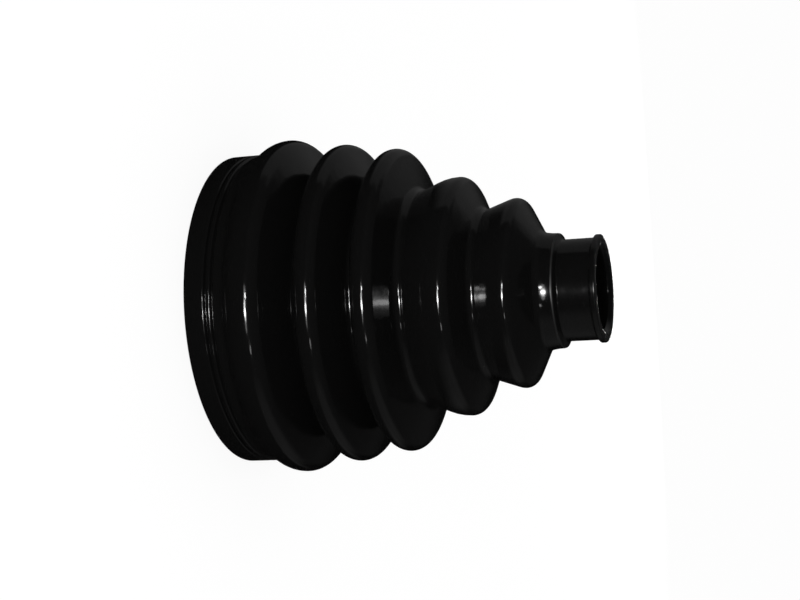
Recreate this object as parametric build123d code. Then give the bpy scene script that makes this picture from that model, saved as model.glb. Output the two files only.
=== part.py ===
from build123d import *
from collections import namedtuple
from math import acos, atan2, degrees
import os

# Rubber bellows boot for a shaft joint: one moulded piece, round about +Z.
# The large collar clamps over the joint's housing, and the neck clamps round the shaft.
# Frame: the origin is the centre of the large end's rim plane, the boot stands on that rim,
# and +Z runs to the small end. All sizes are in millimetres.

# Large collar
large_bore_diameter = 80.0
large_collar_wall = 3.0
rim_height = 5.6            # from the end face to the first groove
rim_edge_round = 0.7
groove_width = 0.9          # two V grooves run round the collar, with a rib between them
groove_depth = 0.9
groove_edge_round = 0.5
groove_floor_round = 0.1
rib_width = 0.9
land_drop = 0.3             # the land above the grooves is this much smaller than the rim
land_height = 1.5           # from the second groove to the first fold

# Neck
small_bore_diameter = 22.0
neck_wall = 2.6
seat_height = 8.5           # the small clamp's seat
seat_corner_round = 0.35
lip_rise = 0.8              # from the seat out to the lip
lip_slope = 0.4             # height of the slope from the seat up to the lip
lip_height = 1.75
lip_edge_round = 0.4
shoulder_rise = 1.8         # from the seat out to the shoulder's lower end
shoulder_taper = 0.1        # the shoulder's upper end is this much smaller
shoulder_height = 0.5
shoulder_slope = 0.75       # height of the slope from the shoulder down to the seat

# Bellows
fold_wall = 1.8             # the same all along the folds
foot_round = 2.0            # where the first fold leaves the collar
neck_round = 2.4            # the tight bend under the last fold
sweep_round = 15.0          # the long hollow from that bend up to the shoulder
sweep_angle = 11.0          # how far the skin still slopes where the two meet, in degrees
flank_share = 0.95          # a crest's rounding leaves at least the rest for a straight flank
lead_in = 1.0               # chamfer at the mouth of each bore

# The folds stand between the collar and the neck. Each step_up is the height from the bend
# below. A crest stands out from the collar, or from the neck's seat, by its rise, and it is
# rounder on its large-end side. A root lies its depth inside the smaller crest beside it, and
# its rounding is that of the outside.
Crest = namedtuple("Crest", "stands_on rise step_up lead_round trail_round")
Root = namedtuple("Root", "step_up depth rounding")
crests = [
    Crest("collar", 3.3, 7.6, 7.6, 4.5),
    Crest("collar", 0.75, 5.8, 3.7, 3.4),
    Crest("collar", -1.55, 5.7, 3.6, 3.0),
    Crest("neck", 18.8, 10.23, 13.8, 2.9),
    Crest("neck", 11.95, 7.9, 4.0, 2.7),
]
roots = [Root(10.0, 10.2, 1.2), Root(8.6, 9.6, 1.2), Root(7.07, 2.94, 2.0), Root(7.2, 2.33, 2.0)]
step_to_neck = 10.6         # from the last crest to the top of the long hollow

# Sizes that follow from these
large_bore = large_bore_diameter / 2
small_bore = small_bore_diameter / 2
collar_radius = large_bore + large_collar_wall
land_radius = collar_radius - land_drop
groove_floor = collar_radius - groove_depth
rib_bottom = rim_height + groove_width
rib_top = rib_bottom + rib_width
land_bottom = rib_top + groove_width
seat_radius = small_bore + neck_wall
lip_radius = seat_radius + lip_rise
shoulder_radius = seat_radius + shoulder_rise
outside_of = {"collar": collar_radius, "neck": seat_radius}

# A bend is one arc of the fold line. Its centre is (radius, height). Its side is 1 for half
# a crest, with the centre inside the wall, and -1 for a root, with the centre outside it.
Bend = namedtuple("Bend", "centre rounding side")


def root_bend(radius, height, rounding):
    return Bend(Vector(radius + rounding, height), rounding, -1)


def crest_bend(radius, height, rounding, root):
    """Half a crest, no rounder than leaves a straight flank between it and its root."""
    rise = radius + root.rounding - root.centre.X
    run = height - root.centre.Y
    roundest = (rise ** 2 + run ** 2) / (2 * rise) - root.rounding
    rounding = min(rounding, flank_share * roundest)
    return Bend(Vector(radius - rounding, height), rounding, 1)


def neck_bend(sweep):
    """The tight bend under the last fold, which runs smoothly into the long hollow."""
    towards = Vector(1, 0).rotate(Axis.Z, sweep_angle)
    return Bend(sweep.centre - (sweep.rounding - neck_round) * towards, neck_round, -1)


def lay_out_bends():
    """The bends of the fold line, from the collar up to the neck."""
    radii = [outside_of[crest.stands_on] + crest.rise for crest in crests]
    height = land_bottom + land_height
    bends = [root_bend(land_radius, height, foot_round)]
    for number, crest in enumerate(crests):
        crest_height = height + crest.step_up
        if number < len(roots):
            height = crest_height + roots[number].step_up
            root_radius = min(radii[number:number + 2]) - roots[number].depth
            above = root_bend(root_radius, height, roots[number].rounding)
        else:
            sweep = root_bend(shoulder_radius, crest_height + step_to_neck, sweep_round)
            above = neck_bend(sweep)
        bends.append(crest_bend(radii[number], crest_height, crest.lead_round, bends[-1]))
        bends.append(crest_bend(radii[number], crest_height, crest.trail_round, above))
        bends.append(above)
    return bends + [sweep]


def flank_angle(below, above):
    """The angle on the lower bend, in degrees, where a straight flank to the upper one starts."""
    run = above.centre - below.centre
    spread = degrees(acos((below.rounding + above.rounding) / run.length))
    return degrees(atan2(run.Y, run.X)) - below.side * spread


def shared_angle(below, above):
    """The angle, in degrees, where two arcs that curve the same way run into each other."""
    wider, tighter = (below, above) if below.rounding > above.rounding else (above, below)
    apart = tighter.centre - wider.centre
    return degrees(atan2(apart.Y, apart.X)) % 360


def bend_angles(bends):
    """Each bend's first and last angle, in degrees, where its neighbours touch it."""
    starts = [180]
    ends = []
    for below, above in zip(bends, bends[1:]):
        if below.side == above.side:
            angle = shared_angle(below, above)
            ends.append(angle)
            starts.append(angle)
        else:
            angle = flank_angle(below, above)
            ends.append(angle)
            starts.append(angle - 180 * above.side)
    ends.append(180)
    return zip(starts, ends)


def fold_line(bends, depth):
    """The folds in section, as arcs and straight flanks, depth inside the outer skin."""
    edges = []
    side_below = 0
    for bend, (start, end) in zip(bends, bend_angles(bends)):
        arc = CenterArc(bend.centre, bend.rounding - bend.side * depth, start, end - start)
        if side_below == -bend.side:
            edges.append(Line(edges[-1] @ 1, arc @ 0))
        edges.append(arc)
        side_below = bend.side
    return edges


def collar_line(bends):
    """The large collar in section, from the inner skin round its end face to the land."""
    foot = bends[0].centre.Y
    bore_step = land_radius - fold_wall - large_bore
    points = [
        (large_bore + bore_step, foot),
        (large_bore, foot - bore_step),
        (large_bore, lead_in),
        (large_bore + lead_in, 0),
        (collar_radius, 0),
        (collar_radius, rim_height),
        (groove_floor, rim_height + groove_width / 2),
        (collar_radius, rib_bottom),
        (collar_radius, rib_top),
        (groove_floor, rib_top + groove_width / 2),
        (land_radius, land_bottom),
        (land_radius, foot),
    ]
    groove_rounds = [groove_edge_round, groove_floor_round, groove_edge_round]
    return FilletPolyline(points, radius=[0, 0, 0, rim_edge_round] + groove_rounds * 2)


def neck_line(bends):
    """The neck in section, from the shoulder over the lip and back down its bore."""
    neck_foot = bends[-1].centre.Y
    shoulder_top = neck_foot + shoulder_height
    seat_bottom = shoulder_top + shoulder_slope
    seat_top = seat_bottom + seat_height
    total_height = seat_top + lip_height
    bore_step = shoulder_radius - fold_wall - small_bore
    points = [
        (shoulder_radius, neck_foot),
        (shoulder_radius - shoulder_taper, shoulder_top),
        (seat_radius, seat_bottom),
        (seat_radius, seat_top),
        (lip_radius, seat_top + lip_slope),
        (lip_radius, total_height),
        (small_bore + lead_in, total_height),
        (small_bore, total_height - lead_in),
        (small_bore, neck_foot + bore_step),
        (small_bore + bore_step, neck_foot),
    ]
    seat_rounds = [seat_corner_round] * 3
    return FilletPolyline(points, radius=seat_rounds + [lip_edge_round] * 2 + [0, 0, 0])


def make_boot():
    """The whole boot: its wall in section, turned once round the axis."""
    bends = lay_out_bends()
    outer_skin = fold_line(bends, 0)
    inner_skin = fold_line(bends, fold_wall)
    outline = [collar_line(bends), *outer_skin, neck_line(bends), *inner_skin]
    section = Plane.XZ * make_face(outline)
    return revolve(section, axis=Axis.Z)


os.makedirs("parts", exist_ok=True)
boot = make_boot()
boot.label = "bellows_boot"
export_step(boot, "parts/bellows_boot.step")
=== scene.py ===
from collections import namedtuple
from math import acos, atan2, ceil, cos, pi, radians, sin, tan

import bpy
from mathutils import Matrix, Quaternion, Vector


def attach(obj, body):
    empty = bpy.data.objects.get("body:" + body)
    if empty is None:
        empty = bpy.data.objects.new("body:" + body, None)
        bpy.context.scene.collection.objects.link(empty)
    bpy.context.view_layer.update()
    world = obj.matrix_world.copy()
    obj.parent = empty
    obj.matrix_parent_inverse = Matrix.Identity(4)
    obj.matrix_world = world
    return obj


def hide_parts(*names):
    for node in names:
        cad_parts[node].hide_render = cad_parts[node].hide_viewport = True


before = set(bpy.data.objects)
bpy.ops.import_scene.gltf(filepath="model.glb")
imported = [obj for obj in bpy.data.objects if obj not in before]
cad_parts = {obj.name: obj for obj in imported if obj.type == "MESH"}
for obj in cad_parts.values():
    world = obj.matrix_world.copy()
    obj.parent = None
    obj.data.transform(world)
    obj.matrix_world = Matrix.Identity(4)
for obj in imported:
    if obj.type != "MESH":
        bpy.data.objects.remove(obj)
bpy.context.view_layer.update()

mm = 0.001                  # the scene's own unit is the metre

# The boot stands on its large end. The origin is the centre of that end's rim plane, and +Z
# runs to the small end. The sizes repeat the moulded part's own.

# Large collar
large_bore_radius = 40.0 * mm
collar_radius = 43.0 * mm
rim_height = 5.6 * mm
rim_edge_round = 0.7 * mm
groove_width = 0.9 * mm
groove_depth = 0.9 * mm
groove_edge_round = 0.5 * mm
groove_floor_round = 0.1 * mm
rib_width = 0.9 * mm
land_drop = 0.3 * mm
land_height = 1.5 * mm

# Neck
small_bore_radius = 11.0 * mm
neck_wall = 2.6 * mm
seat_height = 8.5 * mm
seat_corner_round = 0.35 * mm
lip_rise = 0.8 * mm
lip_slope = 0.4 * mm
lip_height = 1.75 * mm
lip_edge_round = 0.4 * mm
shoulder_rise = 1.8 * mm
shoulder_taper = 0.1 * mm
shoulder_height = 0.5 * mm
shoulder_slope = 0.75 * mm

# Folds
fold_wall = 1.8 * mm
foot_round = 2.0 * mm
neck_round = 2.4 * mm
sweep_round = 15.0 * mm
sweep_angle = radians(11)
flank_share = 0.95
lead_in = 1.0 * mm
soft_edge = 0.25 * mm       # every edge of a rubber moulding is a little round

rib_bottom = rim_height + groove_width
rib_top = rib_bottom + rib_width
land_bottom = rib_top + groove_width
land_radius = collar_radius - land_drop
groove_floor = collar_radius - groove_depth
seat_radius = small_bore_radius + neck_wall
lip_radius = seat_radius + lip_rise
shoulder_radius = seat_radius + shoulder_rise

# Each step_up is the height from the bend below. A crest is rounder on its large-end side, and
# a root lies its depth inside the smaller crest beside it. The first crest stands 0.02 mm
# lower than the part's, so that the skin stays inside the part's own faceted box.
Crest = namedtuple("Crest", "radius step_up lead_round trail_round")
Root = namedtuple("Root", "step_up depth rounding")
crests = [
    Crest(collar_radius + 3.28 * mm, 7.6 * mm, 7.6 * mm, 4.5 * mm),
    Crest(collar_radius + 0.75 * mm, 5.8 * mm, 3.7 * mm, 3.4 * mm),
    Crest(collar_radius - 1.55 * mm, 5.7 * mm, 3.6 * mm, 3.0 * mm),
    Crest(seat_radius + 18.8 * mm, 10.23 * mm, 13.8 * mm, 2.9 * mm),
    Crest(seat_radius + 11.95 * mm, 7.9 * mm, 4.0 * mm, 2.7 * mm),
]
roots = [
    Root(10.0 * mm, 10.2 * mm, 1.2 * mm),
    Root(8.6 * mm, 9.6 * mm, 1.2 * mm),
    Root(7.07 * mm, 2.94 * mm, 2.0 * mm),
    Root(7.2 * mm, 2.33 * mm, 2.0 * mm),
]
step_to_neck = 10.6 * mm    # from the last crest to the top of the long sweep
shoulder_line = 90.8 * mm   # height of the line where the mould closed, round the shoulder

# How finely the skin is divided
arc_step = radians(9)       # along each rounding of the section
flank_step = 1.6 * mm       # along each straight stretch of it
turn_count = 168            # round the axis
same_place = 0.001 * mm     # spots closer than this are one

# Camera: it stands in front, on the -Y side, and looks down a little
camera_distance = 0.4299
camera_elevation = radians(17.43)
camera_roll = radians(86.7)
aim_height = 0.0452
focal_length = 70.23        # on a sensor 36 wide


# ---------------------------------------------------------------- the moulded skin

# A bend is one arc of the fold line. Its centre is (radius, height). Its side is 1 for half
# a crest, with the centre inside the wall, and -1 for a root, with the centre outside it.
Bend = namedtuple("Bend", "centre rounding side")


def root_bend(radius, height, rounding):
    return Bend(Vector((radius + rounding, height)), rounding, -1)


def crest_bend(radius, height, rounding, root):
    """Half a crest, no rounder than leaves a straight flank between it and its root."""
    rise = radius + root.rounding - root.centre.x
    run = height - root.centre.y
    roundest = (rise ** 2 + run ** 2) / (2 * rise) - root.rounding
    rounding = min(rounding, flank_share * roundest)
    return Bend(Vector((radius - rounding, height)), rounding, 1)


def neck_bend(sweep):
    """The tight bend under the last fold, running smoothly into the long sweep."""
    towards = Vector((cos(sweep_angle), sin(sweep_angle)))
    centre = sweep.centre - (sweep.rounding - neck_round) * towards
    return Bend(centre, neck_round, -1)


def lay_out_bends():
    """The bends of the fold line, from the collar up to the neck."""
    height = land_bottom + land_height
    bends = [root_bend(land_radius, height, foot_round)]
    for number, crest in enumerate(crests):
        crest_height = height + crest.step_up
        if number < len(roots):
            height = crest_height + roots[number].step_up
            smaller = min(crest.radius, crests[number + 1].radius)
            above = root_bend(smaller - roots[number].depth, height, roots[number].rounding)
        else:
            sweep = root_bend(shoulder_radius, crest_height + step_to_neck, sweep_round)
            above = neck_bend(sweep)
        bends.append(crest_bend(crest.radius, crest_height, crest.lead_round, bends[-1]))
        bends.append(crest_bend(crest.radius, crest_height, crest.trail_round, above))
        bends.append(above)
    return bends + [sweep]


def flank_angle(below, above):
    """The angle on the lower bend where a straight flank to the upper one starts."""
    run = above.centre - below.centre
    spread = acos((below.rounding + above.rounding) / run.length)
    return atan2(run.y, run.x) - below.side * spread


def shared_angle(below, above):
    """The angle where two arcs that curve the same way run into each other."""
    wider, tighter = (below, above) if below.rounding > above.rounding else (above, below)
    apart = tighter.centre - wider.centre
    return atan2(apart.y, apart.x) % (2 * pi)


def bend_angles(bends):
    """Each bend's first and last angle, where its neighbours touch it."""
    starts = [pi]
    ends = []
    for below, above in zip(bends, bends[1:]):
        if below.side == above.side:
            angle = shared_angle(below, above)
            ends.append(angle)
            starts.append(angle)
        else:
            angle = flank_angle(below, above)
            ends.append(angle)
            starts.append(angle - pi * above.side)
    ends.append(pi)
    return zip(starts, ends)


# A spot of the section has its place as (radius, height), and the way the skin faces there.
Spot = namedtuple("Spot", "place facing")


def arc_spots(centre, rounding, start, end, side):
    """Spots along an arc. The skin faces away from the centre where side is 1, and else to it."""
    steps = max(2, ceil(abs(end - start) / arc_step))
    spots = []
    for step in range(steps + 1):
        angle = start + (end - start) * step / steps
        way = Vector((cos(angle), sin(angle)))
        spots.append(Spot(centre + rounding * way, side * way))
    return spots


def fold_line(bends, depth):
    """The folds in section: the outer skin, or the inner skin depth inside it."""
    spots = []
    for bend, (start, end) in zip(bends, bend_angles(bends)):
        side = -bend.side if depth else bend.side
        arc = arc_spots(bend.centre, bend.rounding - bend.side * depth, start, end, side)
        joined = spots and (arc[0].place - spots[-1].place).length < same_place
        spots += arc[1:] if joined else arc
    return spots


def rounded(corners):
    """The spots along a line whose inner corners, (radius, height, rounding), are made round.

    Its two ends are bare (radius, height) places and give no spots of their own. The line runs
    round the wall with the wall on its left.
    """
    spots = []
    for before, corner, after in zip(corners, corners[1:], corners[2:]):
        *place, rounding = corner
        at = Vector(place)
        back = (Vector(before[:2]) - at).normalized()
        ahead = (Vector(after[:2]) - at).normalized()
        half = back.angle(ahead) / 2
        reach = rounding / tan(half)
        centre = at + (back + ahead).normalized() * rounding / sin(half)
        first = at + back * reach - centre
        turn = -first.angle_signed(at + ahead * reach - centre)
        start = atan2(first.y, first.x)
        spots += arc_spots(centre, rounding, start, start + turn, 1 if turn > 0 else -1)
    return spots


def collar_line(foot):
    """The large collar in section, from the inner skin round its end face to the land."""
    bore_step = land_radius - fold_wall - large_bore_radius
    inner_foot = (large_bore_radius + bore_step, foot)
    outer_foot = (land_radius, foot)
    corners = [
        (large_bore_radius, foot - bore_step, soft_edge),
        (large_bore_radius, lead_in, soft_edge),
        (large_bore_radius + lead_in, 0, soft_edge),
        (collar_radius, 0, rim_edge_round),
        (collar_radius, rim_height, groove_edge_round),
        (groove_floor, rim_height + groove_width / 2, groove_floor_round),
        (collar_radius, rib_bottom, groove_edge_round),
        (collar_radius, rib_top, groove_edge_round),
        (groove_floor, rib_top + groove_width / 2, groove_floor_round),
        (land_radius, land_bottom, groove_edge_round),
    ]
    return rounded([inner_foot, *corners, outer_foot])


def neck_line(foot):
    """The neck in section, from the shoulder over the lip and back down its bore."""
    shoulder_top = foot + shoulder_height
    seat_bottom = shoulder_top + shoulder_slope
    seat_top = seat_bottom + seat_height
    top = seat_top + lip_height
    bore_step = shoulder_radius - fold_wall - small_bore_radius
    corners = [
        (shoulder_radius - shoulder_taper, shoulder_top, seat_corner_round),
        (seat_radius, seat_bottom, seat_corner_round),
        (seat_radius, seat_top, seat_corner_round),
        (lip_radius, seat_top + lip_slope, seat_corner_round),
        (lip_radius, top, lip_edge_round),
        (small_bore_radius + lead_in, top, soft_edge),
        (small_bore_radius, top - lead_in, soft_edge),
        (small_bore_radius, foot + bore_step, soft_edge),
    ]
    inner_foot = (small_bore_radius + bore_step, foot)
    return rounded([(shoulder_radius, foot), *corners, inner_foot])


def divided(spots, longest):
    """The closed line with its long straight stretches cut into shorter ones."""
    finer = []
    for spot, after in zip(spots, spots[1:] + spots[:1]):
        steps = max(1, ceil((after.place - spot.place).length / longest))
        for step in range(steps):
            place = spot.place.lerp(after.place, step / steps)
            finer.append(Spot(place, spot.facing.lerp(after.facing, step / steps)))
    return finer


def boot_section():
    """The whole wall in section, as one closed line of spots."""
    bends = lay_out_bends()
    outer = collar_line(bends[0].centre.y) + fold_line(bends, 0)
    inner = neck_line(bends[-1].centre.y) + fold_line(bends, fold_wall)[::-1]
    return divided(outer + inner, flank_step)


def put_in_scene(name, data):
    """A new object that holds the data, linked to the scene."""
    thing = bpy.data.objects.new(name, data)
    bpy.context.scene.collection.objects.link(thing)
    return thing


def turned(flat, angle):
    """A (radius, height) pair of the section, turned round the axis."""
    return flat.x * cos(angle), flat.x * sin(angle), flat.y


def make_boot():
    """The moulded boot, its section turned once round the axis."""
    section = boot_section()
    angles = [2 * pi * turn / turn_count for turn in range(turn_count)]
    vertices = [turned(spot.place, angle) for angle in angles for spot in section]
    facings = [turned(spot.facing, angle) for angle in angles for spot in section]
    count = len(section)
    faces = []
    for turn in range(turn_count):
        here = turn * count
        there = (turn + 1) % turn_count * count
        for low in range(count):
            high = (low + 1) % count
            faces.append((here + low, there + low, there + high, here + high))
    mesh = bpy.data.meshes.new("moulded_boot")
    mesh.from_pydata(vertices, [], faces)
    mesh.shade_smooth()
    mesh.normals_split_custom_set_from_vertices(facings)
    mesh.materials.append(boot_rubber())
    boot = put_in_scene("moulded_boot", mesh)
    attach(boot, "root")
    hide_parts("bellows_boot")


# ---------------------------------------------------------------- finishes

# Rubber
rubber_black = (0.0035, 0.0035, 0.0035, 1)
line_grey = (0.018, 0.018, 0.018, 1)        # of the mould line
line_half_width = 0.45 * mm
line_faintest = 0.4         # the mould line is uneven: from this share of itself up to all
line_dullness = 0.55        # the roughness that it adds
glossiest = 0.08            # roughness of the skin, which changes a little from place to place
dullest = 0.11
wave_depth = 0.06 * mm
grain_share = 0.03          # depth of the grain, as a share of the waves'
noise_low = 0.35            # most of a noise lies between these two
noise_high = 0.65

# The Mix node's colour sockets share their names with others, so they go by number.
mix_share, mix_first, mix_second, mix_result = 0, 6, 7, 2


class Socket:
    """An output of a node. Arithmetic on it adds Math nodes."""

    def __init__(self, tree, output):
        self.tree = tree
        self.output = output

    def maths(self, operation, *values):
        return self.tree.add("ShaderNodeMath", {"operation": operation}, dict(enumerate(values)))

    def __add__(self, other):
        return self.maths("ADD", self, other)

    def __sub__(self, other):
        return self.maths("SUBTRACT", self, other)

    def __rsub__(self, other):
        return self.maths("SUBTRACT", other, self)

    def __mul__(self, other):
        return self.maths("MULTIPLY", self, other)

    def __or__(self, other):
        """The larger of the two."""
        return self.maths("MAXIMUM", self, other)

    __radd__ = __add__
    __rmul__ = __mul__
    __ror__ = __or__

    def ramp(self, low, high, at_low=0.0, at_high=1.0):
        """Smooth change from at_low to at_high while the value goes from low to high."""
        stops = {"From Min": low, "From Max": high, "To Min": at_low, "To Max": at_high}
        settings = {"interpolation_type": "SMOOTHSTEP"}
        return self.tree.add("ShaderNodeMapRange", settings, {"Value": self, **stops})


class Tree:
    """A node tree that is being filled."""

    def __init__(self, owner):
        owner.use_nodes = True
        self.tree = owner.node_tree
        self.tree.nodes.clear()

    def add(self, kind, settings=None, inputs=None, output=0):
        """The named or numbered output of a new node. Its inputs take values or links."""
        node = self.tree.nodes.new(kind)
        for name, value in (settings or {}).items():
            setattr(node, name, value)
        for name, value in (inputs or {}).items():
            if isinstance(value, Socket):
                self.tree.links.new(value.output, node.inputs[name])
            else:
                node.inputs[name].default_value = value
        return Socket(self, node.outputs[output]) if node.outputs else None


def noise(tree, place, scale, detail):
    """An uneven value, with as many clouds to the metre as the scale says."""
    inputs = {"Vector": place, "Scale": scale, "Detail": detail}
    return tree.add("ShaderNodeTexNoise", inputs=inputs)


def line_at(height, middle, half_width):
    """A soft line round the boot: 1 at the middle height, and 0 beyond the half width."""
    return height.ramp(middle - half_width, middle) * height.ramp(middle + half_width, middle)


def boot_rubber():
    """Glossy black rubber, a little wavy, with a dull line where the mould closed."""
    material = bpy.data.materials.new("black_rubber")
    tree = Tree(material)
    place = tree.add("ShaderNodeTexCoord", output="Object")
    height = tree.add("ShaderNodeSeparateXYZ", inputs={"Vector": place}, output="Z")
    cloud = noise(tree, place, scale=70, detail=4)
    wave = noise(tree, place, scale=260, detail=1)
    grain = noise(tree, place, scale=1800, detail=2)
    roughness = cloud.ramp(noise_low, noise_high, glossiest, dullest)
    strength = cloud.ramp(noise_low, noise_high, line_faintest, 1.0)
    mould_line = line_at(height, shoulder_line, line_half_width) * strength
    relief = {"Height": wave + grain * grain_share, "Strength": 1.0, "Distance": wave_depth}
    colours = {mix_share: mould_line, mix_first: rubber_black, mix_second: line_grey}
    surface = {
        "Base Color": tree.add("ShaderNodeMix", {"data_type": "RGBA"}, colours, mix_result),
        "Roughness": roughness + mould_line * line_dullness,
        "IOR": 1.5,
        "Normal": tree.add("ShaderNodeBump", inputs=relief),
    }
    shader = tree.add("ShaderNodeBsdfPrincipled", inputs=surface)
    tree.add("ShaderNodeOutputMaterial", inputs={"Surface": shader})
    return material


# ---------------------------------------------------------------- studio

to_camera = Vector((0, -cos(camera_elevation), sin(camera_elevation)))
boot_middle = Vector((0, 0, aim_height))

# Light and floor
room_light = 0.44           # what falls on the scene from all round
floor_reach = 12.0
floor_grey = (0.85, 0.85, 0.85, 1)
floor_glow = 1.22           # the white that the camera sees on the floor
floor_glow_share = 0.72     # and its share. The rest is the floor's own grey, with the shadow.

# What gloss sees of the studio, as brightness
room_below = 0.004
room_above = 0.022
left_panel = 0.09
right_panel = 0.08

# Where each of these starts and where it is full, along a direction's own X or Z, or along how
# far it points to the camera (1) or away from it (-1)
lighter_above = (0.0, 0.3)
panel_foot = (-0.335, -0.14)
panel_head = (0.7, 0.5)
left_panel_edge = (-0.1, -0.4)
left_panel_behind = (0.0, -0.12)
right_panel_edge = (0.6, 0.95)
ground_behind = (-0.972, -0.978)

# Lamps. A place and a size are as the middle of the boot sees them, in degrees. Azimuth 0 is
# the camera's side, and 90 is +X.
Lamp = namedtuple("Lamp", "name azimuth elevation width height radiance")
lamps = [
    Lamp("main_lamp", azimuth=1.5, elevation=4, width=6, height=9, radiance=55),
    Lamp("main_glow", azimuth=1.5, elevation=4, width=14, height=12, radiance=10),
    Lamp("wide_glow", azimuth=0, elevation=4, width=30, height=10, radiance=2),
    Lamp("side_glow", azimuth=-8.5, elevation=9, width=4.5, height=7, radiance=30),
    Lamp("far_window", azimuth=26, elevation=13, width=6, height=8, radiance=2.6),
    Lamp("back_lamp", azimuth=180, elevation=2, width=12, height=8, radiance=12),
]
lamp_distance = 0.8


def studio_surround(tree, direction):
    """How bright a glossy surface sees the dim studio in a direction.

    The room is dark and a little lighter above. It has a soft panel behind the boot on the
    left, another on the right, and the white ground straight behind the boot.
    """
    across = tree.add("ShaderNodeSeparateXYZ", inputs={"Vector": direction}, output="X")
    up = tree.add("ShaderNodeSeparateXYZ", inputs={"Vector": direction}, output="Z")
    facing = tree.add("ShaderNodeVectorMath", {"operation": "DOT_PRODUCT"},
                      {0: direction, 1: to_camera}, "Value")
    room = up.ramp(*lighter_above, room_below, room_above)
    height = up.ramp(*panel_foot) * up.ramp(*panel_head)
    left = across.ramp(*left_panel_edge) * facing.ramp(*left_panel_behind) * height
    right = across.ramp(*right_panel_edge) * height
    return room + left * left_panel + right * right_panel + facing.ramp(*ground_behind)


def ray_kinds(tree):
    """1 for a ray from the camera, and 1 for a ray from gloss or through glass."""
    names = ("Is Camera Ray", "Is Glossy Ray", "Is Transmission Ray")
    camera, glossy, through = (tree.add("ShaderNodeLightPath", output=name) for name in names)
    return camera, glossy | through


def make_world():
    """White to the camera, the studio to gloss, and dim room light to the rest."""
    world = bpy.data.worlds.new("studio")
    bpy.context.scene.world = world
    tree = Tree(world)
    direction = tree.add("ShaderNodeTexCoord", output="Generated")
    camera_ray, glossy_ray = ray_kinds(tree)
    seen = studio_surround(tree, direction)
    strength = room_light + camera_ray * (1 - room_light) + glossy_ray * (seen - room_light)
    light = {"Color": (1, 1, 1, 1), "Strength": strength}
    shader = tree.add("ShaderNodeBackground", inputs=light)
    tree.add("ShaderNodeOutputWorld", inputs={"Surface": shader})
    world.cycles.sampling_method = "NONE"


def floor_paint():
    """White to the camera, with the shadow in it, and the studio to gloss."""
    material = bpy.data.materials.new("white_floor")
    tree = Tree(material)
    place = tree.add("ShaderNodeNewGeometry", output="Position")
    offset = tree.add("ShaderNodeVectorMath", {"operation": "SUBTRACT"},
                      {0: place, 1: boot_middle})
    direction = tree.add("ShaderNodeVectorMath", {"operation": "NORMALIZE"}, {0: offset})
    camera_ray, glossy_ray = ray_kinds(tree)
    glow = camera_ray * floor_glow + glossy_ray * studio_surround(tree, direction)
    matte = tree.add("ShaderNodeBsdfDiffuse", inputs={"Color": floor_grey})
    white = tree.add("ShaderNodeEmission", inputs={"Strength": glow})
    share = camera_ray * floor_glow_share + glossy_ray
    both = tree.add("ShaderNodeMixShader", inputs={0: share, 1: matte, 2: white})
    tree.add("ShaderNodeOutputMaterial", inputs={"Surface": both})
    material.cycles.emission_sampling = "NONE"
    return material


def make_floor():
    """A wide flat square that the boot stands on."""
    mesh = bpy.data.meshes.new("floor")
    low, high = -floor_reach, floor_reach
    corners = [(low, low, 0), (high, low, 0), (high, high, 0), (low, high, 0)]
    mesh.from_pydata(corners, [], [(0, 1, 2, 3)])
    mesh.materials.append(floor_paint())
    floor = put_in_scene("floor", mesh)


def size_seen(degrees_wide):
    """The width of a lamp that looks so many degrees wide from the boot."""
    return 2 * lamp_distance * tan(radians(degrees_wide / 2))


def make_lamp(plan):
    """A flat soft oval lamp aimed at the boot. The camera doesn't see it."""
    turn, lift = radians(plan.azimuth), radians(plan.elevation)
    away = Vector((sin(turn) * cos(lift), -cos(turn) * cos(lift), sin(lift)))
    light = bpy.data.lights.new(plan.name, "AREA")
    light.shape = "ELLIPSE"
    light.size = size_seen(plan.width)
    light.size_y = size_seen(plan.height)
    light.energy = pi * light.size * light.size_y * plan.radiance   # the power for this radiance
    lamp = put_in_scene(plan.name, light)
    lamp.location = boot_middle + away * lamp_distance
    lamp.rotation_euler = away.to_track_quat("Z", "Y").to_euler()
    lamp.visible_camera = False


def make_camera():
    """The camera in front of the boot, turned so that the boot lies across the frame."""
    camera = put_in_scene("camera", bpy.data.cameras.new("camera"))
    camera.data.lens = focal_length
    camera.location = boot_middle + to_camera * camera_distance
    level = to_camera.to_track_quat("Z", "Y")
    camera.rotation_mode = "QUATERNION"
    camera.rotation_quaternion = level @ Quaternion((0, 0, 1), camera_roll)
    camera.data.clip_start = 0.01
    camera.data.clip_end = 100
    bpy.context.scene.camera = camera


make_camera()
make_boot()
make_floor()
make_world()
for plan in lamps:
    make_lamp(plan)
bpy.context.scene.view_settings.view_transform = "Standard"
